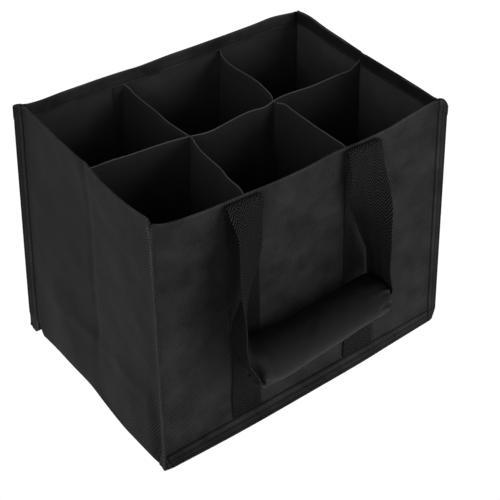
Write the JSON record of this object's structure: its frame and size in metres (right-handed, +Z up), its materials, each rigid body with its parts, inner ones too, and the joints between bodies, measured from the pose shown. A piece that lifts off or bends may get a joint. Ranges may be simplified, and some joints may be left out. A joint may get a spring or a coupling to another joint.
{
  "type": "six-bottle carrier bag",
  "caption": "Open-topped soft cloth carrier bag with crossed dividers that part it into bottle compartments, and on each long face a sewn webbing handle with a padded grip.",
  "frame": {"origin": "on the ground under the middle of the bag", "axes": "+Z up, +X along the long faces, -Y out of the front face that the picture shows, which is the long face with its handle hanging down it"},
  "size_m": [0.2866, 0.278, 0.219],
  "materials": {
    "cloth": "matt twill-woven bag cloth with a faint sheen",
    "divider_cloth": "matt bag cloth with a bound top edge",
    "webbing": "coarse herringbone-woven webbing, slightly glossy",
    "grip_cloth": "smooth padded cloth"
  },
  "bodies": {
    "root": {"end_and_bottom_strip": "cloth", "panel_front": "cloth", "panel_back": "cloth", "divider_long": "divider_cloth", "divider_left_front": "divider_cloth", "divider_left_back": "divider_cloth", "divider_right_front": "divider_cloth", "divider_right_back": "divider_cloth", "webbing_front": "webbing", "webbing_back": "webbing", "grip_front": "grip_cloth", "grip_back": "grip_cloth"}
  },
  "joints": []
}
